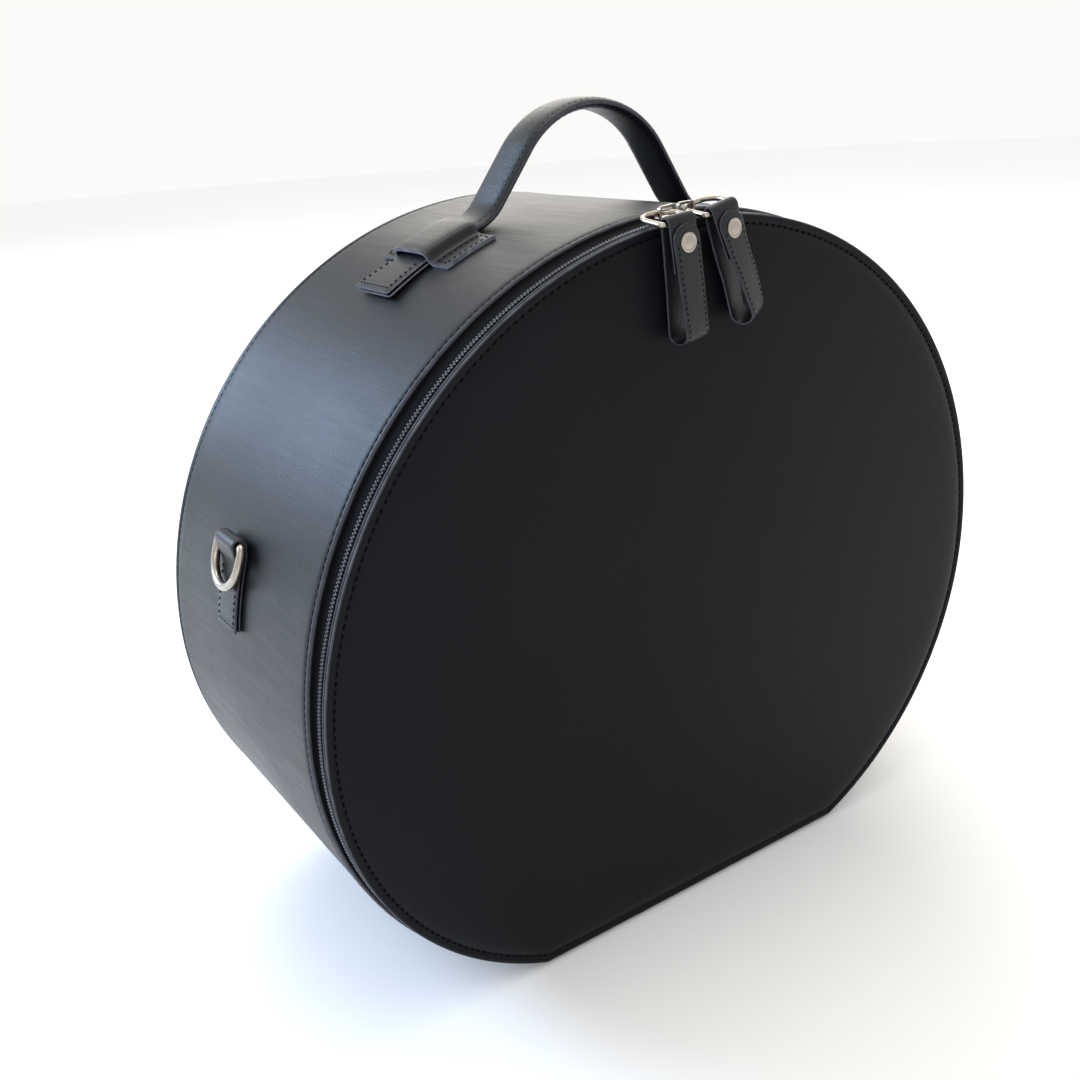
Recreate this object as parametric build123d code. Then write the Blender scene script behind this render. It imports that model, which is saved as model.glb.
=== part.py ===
from build123d import *
import os
from math import asin, cos, degrees, radians, sin, sqrt

# A round travel hat box that stands on a flat chord. Its front is a round lid that unzips
# and folds down about the chord. +X is the box's right as seen from the front, +Y is
# towards its back, +Z is up. The origin is on the floor, under the middle of the whole box.

# ---- the drum, in mm ----
R_TOP = 202.0          # outer radius of the upper half of the outline
R_LOW = 166.0          # outer radius of the two lower corner arcs
LOW_SHIFT = R_TOP - R_LOW   # distance of each lower arc's centre from the middle
Z_ARC = 153.0          # height of the arcs' centres above the floor
DEPTH = 168.0          # front rim to back face
Y_RIM = -68.17         # place of the front rim, which puts the origin under the middle
Y_BACK = Y_RIM + DEPTH
Y_MID = Y_RIM + DEPTH / 2   # middle of the drum, where the handle and the D-rings sit

COVER = 1.0            # leather skin
BOARD = 3.0            # stiff board of the hoop, base and back
LINING = 0.6
SHELL = COVER + BOARD + LINING
BINDING = 1.2          # leather turned over the front rim

# ---- the lid, in its own upright frame: y = 0 is its back face, -y is outwards ----
LID_INSET = 2.0        # how much smaller than the drum the lid's outline is
LID_EDGE = 4.2         # thickness at the edge
LID_CROWN = 1.4        # how far the padded middle stands proud of the edge
LID_SKIN = 1.1
LID_BOARD = 2.5
CROWN_INSET = 10.0     # where the padded middle starts
HINGE_GAP = 5.0        # lid's back face to the rim, at the hinge
HINGE_Z = 5.6          # height of the hinge line
LID_TILT = 1.35        # forward lean of the closed lid, degrees

# ---- the zip, between the lid and the drum ----
ZIP_INSET = 3.0        # outer side of the coil and tape, measured from the drum's skin
TAPE = 0.8
COIL_H = 1.8
TAPE_FLAT = 0.4        # lid-side tape, sewn flat on the lid's back
COIL_W = 1.5
COIL_GAP = 0.8
COIL_BACK = TAPE_FLAT + 2 * COIL_W + COIL_GAP   # where the drum-side tape begins
ZIP_LOW_Z = 9.0        # height at which the zip ends, beside the hinge strip
HINGE_HALF = 94.0      # half length of the hinge strip, inside the flat chord's ends
HINGE_STRIP = (2.6, 3.6)    # height of the hinge strip's lower and upper face

# ---- sliders, rings and pulls ----
SLIDER_HALF = 4.9      # half length along the zip
SLIDER_MID = -2.79     # place between the two parked sliders, degrees from the top
SLIDER_STEP = 1.47     # each slider's centre from that place, degrees
PLATE_R = R_TOP - LID_INSET + 0.4   # underside of the slider's outer plate
PLATE_T = 1.0
PLATE_CORNER = 1.6     # rounding of the slider's plates and of its bridge
TUNNEL_H = 3.8         # clear height under the slider's bridge
BRIDGE_Y = 2.3         # the bridge's middle, in the lid's frame
BRIDGE_W = 1.5
BRIDGE_T = 1.1
BRIDGE_FOOT = 1.0      # width of each of the bridge's two feet
RING_WIRE = 2.4
RING_W = 20.0          # outside, along the zip
RING_D = 19.4          # outside, across the zip
RING_BACK = 7.5        # radius of the ring's back corners, on the wire's centre line
RING_FRONT = 1.6       # radius of its front corners, beside the straight bar
RING_DROP = 5.0        # how far the ring slopes down to the front, degrees
RING_ROLL = {"left": -5.0, "right": -12.0}   # sideways lean of ring and pull, degrees
PULL_W = 14.5
PULL_T = 1.6
PULL_BORE = 1.7        # inner radius of the fold over the ring
PULL_FOLD = 4.2        # inner radius of the bottom fold
PULL_L = 46.0          # distance between the two folds' centres
PULL_TAIL = 20.0       # how far the inner end reaches down
PULL_CORNER = 5.5      # rounding of the outer layer's upper end
RIVET_Z = 8.3          # rivet below the ring's bar
RIVET_CAP = 4.3        # radius of the outer cap
RIVET_CAP_T = 0.9
RIVET_FOOT = 3.4       # radius of the inner cap
RIVET_FOOT_T = 0.6
RIVET_SHANK = 1.5      # radius

# ---- handle, its keepers and its tails. Their angles are from the handle's own middle ----
HANDLE_TURN = 3.0      # how far right of the top the handle's middle is, degrees
STRAP_T = 5.0
STRAP_W = 26.0
STRAP_LIFT = 0.3       # clearance between the strap and the drum
STRAP_R = R_TOP + STRAP_LIFT + STRAP_T / 2   # radius of the strap's centre line on the drum
APEX_R = 249.2         # outside of the handle's top, from the drum's middle
LEAVE = 19.5           # where the strap leaves the drum, degrees
STEEP = 55.0           # slope of the strap's straight legs, degrees
TOP_BEND = 48.0        # radius of the strap's centre line over the top
GRIP = 45.0            # half angle of the middle of the handle
SPLIT = 23.5           # where leg and tail meet, hidden under the keeper, degrees
KEEPER = (20.5, 28.5)  # the keeper's reach, degrees
KEEPER_HALF = 30.0     # half width across the drum
KEEPER_T = 1.8
KEEPER_SLOT = 14.6     # half width of the channel that the strap slides in
TAIL_T = 4.0
TAIL_W = 26.5
TAIL_TIP_W = 33.0
TAIL_END = 35.5        # degrees

# ---- D-rings and their tabs ----
TAB = (70.0, 80.5)     # the tab's reach, degrees from the top
TAB_W = 22.0
TAB_T = 3.2            # two layers
TAB_LOOP = 69.2        # the loop's centre, degrees
DRING_WIRE = 4.0
DRING_W = 32.0         # outside
DRING_H = 25.0         # outside
DRING_CORNER = 3.0
LOOP_BORE = DRING_WIRE / 2 + 0.4
LOOP_T = 1.6
LOOP_R = R_TOP + LOOP_BORE + LOOP_T + 1.2    # radius at which the D-ring's bar lies

Y_AXIS = Axis((0, 0, 0), (0, 1, 0))


def outline(inset):
    """Face of the drum's outline, offset inwards, standing in the XZ plane."""
    r_top = R_TOP - inset
    r_low = R_LOW - inset
    sweep = degrees(asin((Z_ARC - inset) / r_low))
    half_chord = LOW_SHIFT + r_low * cos(radians(sweep))
    edges = [
        CenterArc((0, Z_ARC), r_top, 0, 180),
        CenterArc((-LOW_SHIFT, Z_ARC), r_low, 180, sweep),
        Line((-half_chord, inset), (half_chord, inset)),
        CenterArc((LOW_SHIFT, Z_ARC), r_low, -sweep, sweep),
    ]
    return Plane.XZ * make_face(Curve() + edges)


def slab(inset, y0, y1):
    """The outline as a plate from y0 to y1."""
    return Pos(0, y0, 0) * extrude(outline(inset), amount=y1 - y0, dir=(0, 1, 0))


def ring(outer, inner, y0, y1):
    """A wall that follows the outline between two insets."""
    return slab(outer, y0, y1) - slab(inner, y0 - 1, y1 + 1)


def block(x0, x1, y0, y1, z0, z1):
    """A box between two corners."""
    size = Box(x1 - x0, y1 - y0, z1 - z0)
    return Pos((x0 + x1) / 2, (y0 + y1) / 2, (z0 + z1) / 2) * size


def above(shape, z):
    """What is left of a shape above the height z."""
    return shape & block(-400, 400, -400, 400, z, 600)


def below(shape, z):
    """What is left of a shape below the height z."""
    return shape & block(-400, 400, -400, 400, -50, z)


def arc_band(centre, r0, r1, y0, y1, a0, a1):
    """A curved bar about a line along Y. Angles run from the top towards +X, in degrees."""
    section = Plane.YZ * (Pos((y0 + y1) / 2, (r0 + r1) / 2) * Rectangle(y1 - y0, r1 - r0))
    turned = revolve(section, axis=Y_AXIS, revolution_arc=a1 - a0)
    return Pos(centre[0], 0, centre[1]) * Rot(0, a0, 0) * turned


def on_drum(r0, r1, half_width, a0, a1):
    """A curved bar that lies round the drum, across its middle."""
    return arc_band((0, Z_ARC), r0, r1, Y_MID - half_width, Y_MID + half_width, a0, a1)


def mirrored(shape, side):
    """The shape, or its mirror image for the left side."""
    return mirror(shape, about=Plane.YZ) if side == "left" else shape


# ---- the drum ----

def board_wall():
    """The stiff wall all round, before it is split into hoop and base."""
    return ring(COVER, COVER + BOARD, Y_RIM + BINDING, Y_BACK - COVER - BOARD)


def cover_wall():
    """The leather skin all round, before it is split into side and base."""
    return ring(0, COVER, Y_RIM + BINDING, Y_BACK - COVER)


def hoop_board():
    return above(board_wall(), COVER + BOARD)


def base_board():
    return below(board_wall(), COVER + BOARD)


def back_board():
    return slab(COVER, Y_BACK - COVER - BOARD, Y_BACK - COVER)


def side_cover():
    return above(cover_wall(), COVER)


def base_cover():
    return below(cover_wall(), COVER)


def back_cover():
    return slab(0, Y_BACK - COVER, Y_BACK)


def side_lining():
    return ring(COVER + BOARD, SHELL, Y_RIM + BINDING, Y_BACK - COVER - BOARD)


def back_lining():
    y1 = Y_BACK - COVER - BOARD
    return slab(SHELL, y1 - LINING, y1)


def rim_binding():
    return ring(0, SHELL + 0.6, Y_RIM, Y_RIM + BINDING)


# ---- the lid: everything is built upright and then leans forward about the hinge line ----

LID_PLACE = Pos(0, Y_RIM - HINGE_GAP, HINGE_Z) * Rot(LID_TILT, 0, 0) * Pos(0, 0, -HINGE_Z)


def lid_board():
    return LID_PLACE * slab(LID_INSET + LID_SKIN, -LINING - LID_BOARD, -LINING)


def lid_lining():
    return LID_PLACE * slab(LID_INSET + LID_SKIN, -LINING, 0)


def lid_edge_band():
    return LID_PLACE * ring(LID_INSET, LID_INSET + LID_SKIN, -LID_EDGE / 2, 0)


def lid_padding():
    y_board = -LINING - LID_BOARD
    return LID_PLACE * slab(CROWN_INSET + 1.5, -LID_EDGE - LID_CROWN + LID_SKIN, y_board)


def lid_cover():
    y_board = -LINING - LID_BOARD
    front = slab(LID_INSET, -LID_EDGE, y_board)
    edge = ring(LID_INSET, LID_INSET + LID_SKIN, -LID_EDGE, -LID_EDGE / 2)
    crown = slab(CROWN_INSET, -LID_EDGE - LID_CROWN, y_board)
    crown = chamfer(crown.faces().sort_by(Axis.Y)[0].edges(), LID_CROWN * 0.6)
    pocket = slab(CROWN_INSET + 1.5, -LID_EDGE - LID_CROWN + LID_SKIN, y_board + 1)
    return LID_PLACE * (front + edge + crown - pocket)


def lid_zip_tape():
    flange = ring(ZIP_INSET, ZIP_INSET + 4.0, 0, TAPE_FLAT)
    return LID_PLACE * above(flange, ZIP_LOW_Z)


def lid_zip_coil():
    coil = ring(ZIP_INSET, ZIP_INSET + COIL_H, TAPE_FLAT, TAPE_FLAT + COIL_W)
    return LID_PLACE * above(coil, ZIP_LOW_Z)


def body_zip_coil():
    coil = ring(ZIP_INSET, ZIP_INSET + COIL_H, COIL_BACK - COIL_W, COIL_BACK)
    return LID_PLACE * above(coil, ZIP_LOW_Z)


def behind(y_lid):
    """Everything behind a plane that leans as the closed lid does."""
    return LID_PLACE * block(-400, 400, y_lid, 60, -50, 500)


def body_zip_tape():
    wall = ring(ZIP_INSET, ZIP_INSET + TAPE, Y_RIM - 30, Y_RIM)
    return above(wall, ZIP_LOW_Z) & behind(COIL_BACK)


def hinge_strip():
    bottom, top = HINGE_STRIP
    band = block(-HINGE_HALF, HINGE_HALF, Y_RIM - 30, Y_RIM, bottom, top)
    return band & behind(0.05)


# ---- sliders, rings and pulls, placed in the lid's frame ----

def slider_turn(side):
    """A parked slider's place on the zip, in degrees from the top."""
    return SLIDER_MID + (SLIDER_STEP if side == "right" else -SLIDER_STEP)


def slider_place(side):
    """Frame at the arcs' centre, turned so that its +Z points at the slider."""
    return LID_PLACE * Pos(0, 0, Z_ARC) * Rot(0, slider_turn(side), 0)


def zip_slider(side):
    """Outer and inner plate, the neck that parts the two coils, and the bridge for the ring."""
    r_plate = PLATE_R + PLATE_T
    r_bridge = r_plate + TUNNEL_H
    r_coil = R_TOP - ZIP_INSET - COIL_H
    y_back = COIL_BACK + 1.7
    y_neck = TAPE_FLAT + COIL_W + 0.15
    outer = block(-SLIDER_HALF, SLIDER_HALF, -1.2, y_back, PLATE_R, r_plate)
    outer = fillet(outer.edges().filter_by(Axis.Z), PLATE_CORNER)
    inner = block(-SLIDER_HALF, SLIDER_HALF, 0.5, y_back, r_coil - 1.8, r_coil - 0.6)
    inner = fillet(inner.edges().filter_by(Axis.Z), PLATE_CORNER)
    neck = block(-2.5, 2.5, y_neck, y_neck + 0.5, r_coil - 0.7, PLATE_R + 0.1)
    y0 = BRIDGE_Y - BRIDGE_W / 2
    y1 = BRIDGE_Y + BRIDGE_W / 2
    half = SLIDER_HALF - 0.4
    bridge = block(-half, half, y0, y1, r_plate - 0.1, r_bridge + BRIDGE_T)
    bridge = fillet(bridge.faces().sort_by(Axis.Z)[-1].edges().filter_by(Axis.Y), PLATE_CORNER)
    half -= BRIDGE_FOOT
    tunnel = block(-half, half, y0 - 1, y1 + 1, r_plate, r_bridge)
    tunnel = fillet(tunnel.faces().sort_by(Axis.Z)[-1].edges().filter_by(Axis.Y), 1.0)
    return slider_place(side) * (outer + inner + neck + (bridge - tunnel))


def ring_crossing(side):
    """Where the ring's wire passes under the bridge, from the ring's middle."""
    reach = RING_BACK * (1 - sqrt(0.5))
    x = (RING_W - RING_WIRE) / 2 - reach
    y = (RING_D - RING_WIRE) / 2 - reach
    return (x if side == "left" else -x, y)


def ring_place(side):
    """Frame of the ring: its middle, with the wire's centre line in the XY plane."""
    x, y = ring_crossing(side)
    r_wire = PLATE_R + PLATE_T + TUNNEL_H / 2
    lean = Rot(0, RING_ROLL[side] - slider_turn(side), 0) * Rot(RING_DROP, 0, 0)
    return slider_place(side) * Pos(0, BRIDGE_Y, r_wire) * lean * Pos(-x, -y, 0)


def wire_loop(x, y0, y1, r0, r1, wire):
    """A bent wire ring, 2x wide between y0 and y1, with its own radius at each end."""
    edges = [
        Line((r0 - x, y0), (x - r0, y0)),
        CenterArc((x - r0, y0 + r0), r0, -90, 90),
        Line((x, y0 + r0), (x, y1 - r1)),
        CenterArc((x - r1, y1 - r1), r1, 0, 90),
        Line((x - r1, y1), (r1 - x, y1)),
        CenterArc((r1 - x, y1 - r1), r1, 90, 90),
        Line((-x, y1 - r1), (-x, y0 + r0)),
        CenterArc((r0 - x, y0 + r0), r0, 180, 90),
    ]
    path = Wire(edges)
    section = Plane(origin=path @ 0, z_dir=path % 0) * Circle(wire / 2)
    return sweep(section, path=path)


def zip_ring(side):
    x = (RING_W - RING_WIRE) / 2
    y = (RING_D - RING_WIRE) / 2
    return ring_place(side) * wire_loop(x, -y, y, RING_FRONT, RING_BACK, RING_WIRE)


def bar_point(side):
    """Middle of the ring's front bar."""
    bar = ring_place(side) * Pos(0, -(RING_D - RING_WIRE) / 2, 0)
    return bar.position


def pull_place(side):
    """Frame of the hanging pull: the ring's bar, with the same sideways lean."""
    return Pos(bar_point(side)) * Rot(0, RING_ROLL[side], 0)


def half_fold(inner, z, upper):
    """Half of a fold of the strip, as a face with y across and z up."""
    circle = Circle(inner + PULL_T) - Circle(inner)
    half = Pos(0, 20 if upper else -20) * Rectangle(60, 40)
    return Pos(0, z) * (circle & half)


def strip(face):
    """A face with y across and z up, made into a strip as wide as the pull."""
    return extrude(Plane.YZ * face, amount=PULL_W / 2, both=True)


def layer(y_top, z_top, y_low, z_low):
    """One straight layer of the strip, as a face. Each y is its side towards the lid."""
    corners = [(y_top, z_top), (y_top - PULL_T, z_top), (y_low - PULL_T, z_low), (y_low, z_low)]
    return make_face(Polyline(corners, close=True))


def zip_pull(side):
    """Inner end, fold over the ring, back layer, bottom fold and front layer of one strip."""
    r_top = PULL_BORE + PULL_T
    r_low = PULL_FOLD + PULL_T
    back = layer(r_top, 0, r_low, -PULL_L)
    tail = layer(-PULL_BORE, 0, -PULL_BORE - 0.2, -PULL_TAIL)
    front = layer(-r_top, -1, -PULL_FOLD, -PULL_L)
    folds = half_fold(PULL_BORE, 0, True) + half_fold(PULL_FOLD, -PULL_L, False)
    outer = strip(front)
    outer = fillet(outer.edges().filter_by(Axis.Y).sort_by(Axis.Z)[-2:], PULL_CORNER)
    loop = strip(folds) + strip(back) + strip(tail) + outer
    return pull_place(side) * (loop - rivet_shape())


def rivet_disc(radius, y, thickness):
    """A disc of the rivet that reaches outwards from y."""
    disc = Cylinder(radius, thickness, align=(Align.CENTER, Align.CENTER, Align.MIN))
    return Pos(0, y, -RIVET_Z) * Rot(90, 0, 0) * disc


def rivet_shape():
    """A double cap rivet through the front layer and the inner end."""
    y_front = -(PULL_BORE + 2 * PULL_T) - 0.15
    y_back = -PULL_BORE - 0.1
    cap = rivet_disc(RIVET_CAP, y_front, RIVET_CAP_T)
    cap = fillet(cap.faces().sort_by(Axis.Y)[0].edges(), RIVET_CAP_T * 2 / 3)
    foot = rivet_disc(RIVET_FOOT, y_back + RIVET_FOOT_T, RIVET_FOOT_T)
    shank = rivet_disc(RIVET_SHANK, y_back + 0.1, y_back - y_front + 0.2)
    return cap + foot + shank


def pull_rivet(side):
    return pull_place(side) * rivet_shape()


# ---- handle ----

HANDLE_PLACE = Pos(0, 0, Z_ARC) * Rot(0, HANDLE_TURN, 0) * Pos(0, 0, -Z_ARC)


def on_handle(shape, side):
    """A right-hand piece of the handle, on its own side and turned with the handle."""
    return HANDLE_PLACE * mirrored(shape, side)


def leg_sizes():
    """Radius of the strap's bend off the drum and length of its straight leg, which
    together make up the run and the rise between the drum and the top arc."""
    a = radians(LEAVE)
    h = radians(STEEP)
    run = STRAP_R * sin(a) - TOP_BEND * sin(h)
    rise = APEX_R - STRAP_T / 2 - STRAP_R * cos(a) - TOP_BEND * (1 - cos(h))
    per_bend = (sin(h) - sin(a), cos(a) - cos(h))
    det = per_bend[0] * sin(h) - per_bend[1] * cos(h)
    bend = (run * sin(h) - rise * cos(h)) / det
    straight = (per_bend[0] * rise - per_bend[1] * run) / det
    return bend, straight


def strap(centre, radius, a0, a1):
    """A length of the strap, bent to a radius about a centre."""
    half = STRAP_W / 2
    r0 = radius - STRAP_T / 2
    return arc_band(centre, r0, r0 + STRAP_T, Y_MID - half, Y_MID + half, a0, a1)


def top_centre():
    return (0, Z_ARC + APEX_R - STRAP_T / 2 - TOP_BEND)


def handle_grip():
    return HANDLE_PLACE * strap(top_centre(), TOP_BEND, -GRIP, GRIP)


def straight_leg(length):
    """The straight length of the strap that ends where the top arc begins."""
    bar = Box(length, STRAP_W, STRAP_T, align=(Align.MIN, Align.CENTER, Align.CENTER))
    x, z = top_centre()
    return Pos(x, Y_MID, z) * Rot(0, STEEP, 0) * Pos(0, 0, TOP_BEND) * bar


def handle_leg(side):
    """From under the keeper, along the skin, round the bend, straight up and on to the grip."""
    bend, straight = leg_sizes()
    a = radians(LEAVE)
    bend_centre = ((STRAP_R + bend) * sin(a), Z_ARC + (STRAP_R + bend) * cos(a))
    on_skin = strap((0, Z_ARC), STRAP_R, LEAVE, SPLIT)
    rising = strap(bend_centre, bend, LEAVE + 180, STEEP + 180)
    over = strap(top_centre(), TOP_BEND, GRIP, STEEP)
    return on_handle(on_skin + rising + straight_leg(straight) + over, side)


def handle_tail(side):
    """The strap's end: as wide as the strap under the keeper, then wider towards its tip."""
    r0 = R_TOP + STRAP_LIFT
    band = on_drum(r0, r0 + TAIL_T, TAIL_TIP_W / 2, SPLIT, TAIL_END)
    length = radians(TAIL_END - KEEPER[1]) * R_TOP
    x_split = -radians(KEEPER[1] - SPLIT) * R_TOP - 2
    half = TAIL_W / 2
    tip = TAIL_TIP_W / 2
    plan = make_face(Polyline([
        (x_split, -half), (0, -half), (length + 2, -tip - 0.3),
        (length + 2, tip + 0.3), (0, half), (x_split, half),
    ], close=True))
    cutter = Pos(0, Y_MID, R_TOP - 20) * extrude(plan, amount=60)
    cutter = Pos(0, 0, Z_ARC) * Rot(0, KEEPER[1], 0) * cutter
    return on_handle(band & cutter, side)


def handle_keeper(side):
    """A strip with two flanges on the drum and a raised channel between them."""
    r0 = R_TOP + 0.05
    inner = R_TOP + STRAP_LIFT + STRAP_T + 0.5
    outer = inner + KEEPER_T
    top = KEEPER_SLOT + KEEPER_T
    section = make_face(Polyline([
        (-KEEPER_HALF, r0), (-KEEPER_SLOT, r0), (-KEEPER_SLOT, inner), (KEEPER_SLOT, inner),
        (KEEPER_SLOT, r0), (KEEPER_HALF, r0), (KEEPER_HALF, r0 + KEEPER_T), (top, r0 + KEEPER_T),
        (top, outer), (-top, outer), (-top, r0 + KEEPER_T), (-KEEPER_HALF, r0 + KEEPER_T),
    ], close=True))
    section = Pos(0, Y_MID, 0) * (Plane.YZ * section)
    bent = revolve(section, axis=Y_AXIS, revolution_arc=KEEPER[1] - KEEPER[0])
    return on_handle(Pos(0, 0, Z_ARC) * Rot(0, KEEPER[0], 0) * bent, side)


# ---- D-rings ----

def loop_place():
    """Frame at the right D-ring's bar: +Z points away from the drum, +X down along it."""
    return Pos(0, Y_MID, Z_ARC) * Rot(0, TAB_LOOP, 0) * Pos(0, 0, LOOP_R)


def d_ring_tab(side):
    """Two layers of leather on the drum, with a loop at their upper end."""
    plate = on_drum(R_TOP + 0.05, R_TOP + 0.05 + TAB_T, TAB_W / 2, TAB_LOOP, TAB[1])
    barrel = loop_place() * Rot(90, 0, 0) * Cylinder(LOOP_BORE + LOOP_T, TAB_W)
    bore = loop_place() * Rot(90, 0, 0) * Cylinder(LOOP_BORE, TAB_W + 10)
    return mirrored(plate + barrel - bore, side)


def d_ring(side):
    half = (DRING_W - DRING_WIRE) / 2
    drop = DRING_H - DRING_WIRE
    shape = wire_loop(half, 0, drop, DRING_CORNER, half - 0.01, DRING_WIRE)
    return mirrored(loop_place() * Rot(0, 0, -90) * shape, side)


SIDES = ("left", "right")


def all_parts():
    """Every node's name and shape."""
    single = [
        hoop_board, base_board, back_board, side_cover, base_cover, back_cover, side_lining,
        back_lining, rim_binding, body_zip_tape, body_zip_coil, hinge_strip, lid_board,
        lid_lining, lid_edge_band, lid_padding, lid_cover, lid_zip_tape, lid_zip_coil,
        handle_grip,
    ]
    paired = [
        zip_slider, zip_ring, zip_pull, pull_rivet, handle_leg, handle_tail, handle_keeper,
        d_ring_tab, d_ring,
    ]
    parts = {make.__name__: make() for make in single}
    for make in paired:
        for side in SIDES:
            parts[f"{make.__name__}_{side}"] = make(side)
    return parts


def main():
    os.makedirs("parts", exist_ok=True)
    parts = all_parts()
    for name, shape in parts.items():
        export_step(shape, f"parts/{name}.step")
    print(len(parts), "parts")


main()
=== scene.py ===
from math import asin, cos, pi, radians, sin, sqrt

import bmesh
import bpy
import numpy as np
from mathutils import Matrix, Vector


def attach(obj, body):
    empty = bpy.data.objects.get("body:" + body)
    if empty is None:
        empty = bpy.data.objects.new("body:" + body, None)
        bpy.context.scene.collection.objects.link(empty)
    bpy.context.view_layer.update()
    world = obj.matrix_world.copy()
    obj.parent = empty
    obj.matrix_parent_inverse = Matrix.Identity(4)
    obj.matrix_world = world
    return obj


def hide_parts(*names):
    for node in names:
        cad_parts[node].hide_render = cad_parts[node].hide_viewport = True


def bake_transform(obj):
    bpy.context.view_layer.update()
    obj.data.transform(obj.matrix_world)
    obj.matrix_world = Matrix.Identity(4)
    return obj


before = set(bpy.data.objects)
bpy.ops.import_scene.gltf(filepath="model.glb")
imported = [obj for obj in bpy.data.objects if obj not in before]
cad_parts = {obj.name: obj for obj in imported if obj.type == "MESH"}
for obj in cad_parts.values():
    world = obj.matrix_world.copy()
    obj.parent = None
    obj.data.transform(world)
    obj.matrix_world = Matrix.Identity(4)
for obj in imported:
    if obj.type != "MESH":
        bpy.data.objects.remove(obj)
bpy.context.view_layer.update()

# ---- driving dimensions of the hat box, in metres, the same as the CAD model's ----
# The outline is a wide arc over the top, a tighter arc at each side below it and a flat chord.
R_TOP = 0.202
R_LOW = 0.166
LOW_SHIFT = R_TOP - R_LOW
Z_ARC = 0.153  # height of the arcs' middles
Y_RIM = -0.06817  # the drum's front edge
DEPTH = 0.168
Y_BACK = Y_RIM + DEPTH
Y_MID = Y_RIM + DEPTH / 2
LID_INSET = 0.002  # the lid's edge, inside the drum's outline
LID_TILT = radians(1.35)  # how far the closed lid leans forward
HINGE = Vector((0, Y_RIM - 0.005, 0.0056))
ZIP_INSET = 0.003
COIL_BACK = 0.0042  # the coil's back, behind the lid's plane
ZIP_LOW_Z = 0.009  # height of the zip's two ends
RING_ROLL = {"left": radians(-5.0), "right": radians(-12.0)}  # sideways lean of the wire rings
# Middle of each wire ring's bar, from which its pull hangs.
BAR = {"left": Vector((-0.02157, -0.09382, 0.35349)), "right": Vector((0.00204, -0.09388, 0.35597))}
STRAP_T = 0.005
HANDLE_TURN = radians(3.0)  # the handle's middle is this far off the top
APEX_R = 0.2492  # outside of the handle's top, from the arcs' middle
LEAVE = radians(19.5)  # where the strap leaves the drum, from the handle's middle
STEEP = radians(55.0)  # slope of the straight part of a leg
TOP_R = 0.048  # bend over the handle's top
STRAP_R = R_TOP + 0.0003 + STRAP_T / 2  # the strap's centre line where it lies on the drum
STRAP_END = radians(21.3)  # the strap's hidden end, under its keeper
KEEPER_FROM = 20.5  # degrees from the handle's middle
KEEPER_LONG = R_TOP * radians(8.0)
TAIL_FROM = 23.2  # degrees from the handle's middle
TAIL_LONG = R_TOP * radians(12.3)
TAIL_SHOULDER = R_TOP * radians(5.3)  # from here the tail widens and lifts to its tip
LOOP_ANGLE = radians(69.2)  # the D-ring's bar, from the top
LOOP_R = 0.2072
SIDES = {"left": -1.0, "right": 1.0}
ACROSS = np.array([0.0, 1.0, 0.0])  # across any strip that is wrapped round the drum

TOP_N, LOW_N, CHORD_N = 240, 72, 90  # steps round the outline's arcs and chord
ARC_STEPS = 2 * LOW_N + TOP_N

# ---- numbers shared by the materials, linear colours ----
BLACK_LEATHER = (0.0062, 0.0068, 0.0088)
THREAD = (0.0012, 0.0012, 0.0018)


# ---- materials ----

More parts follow.
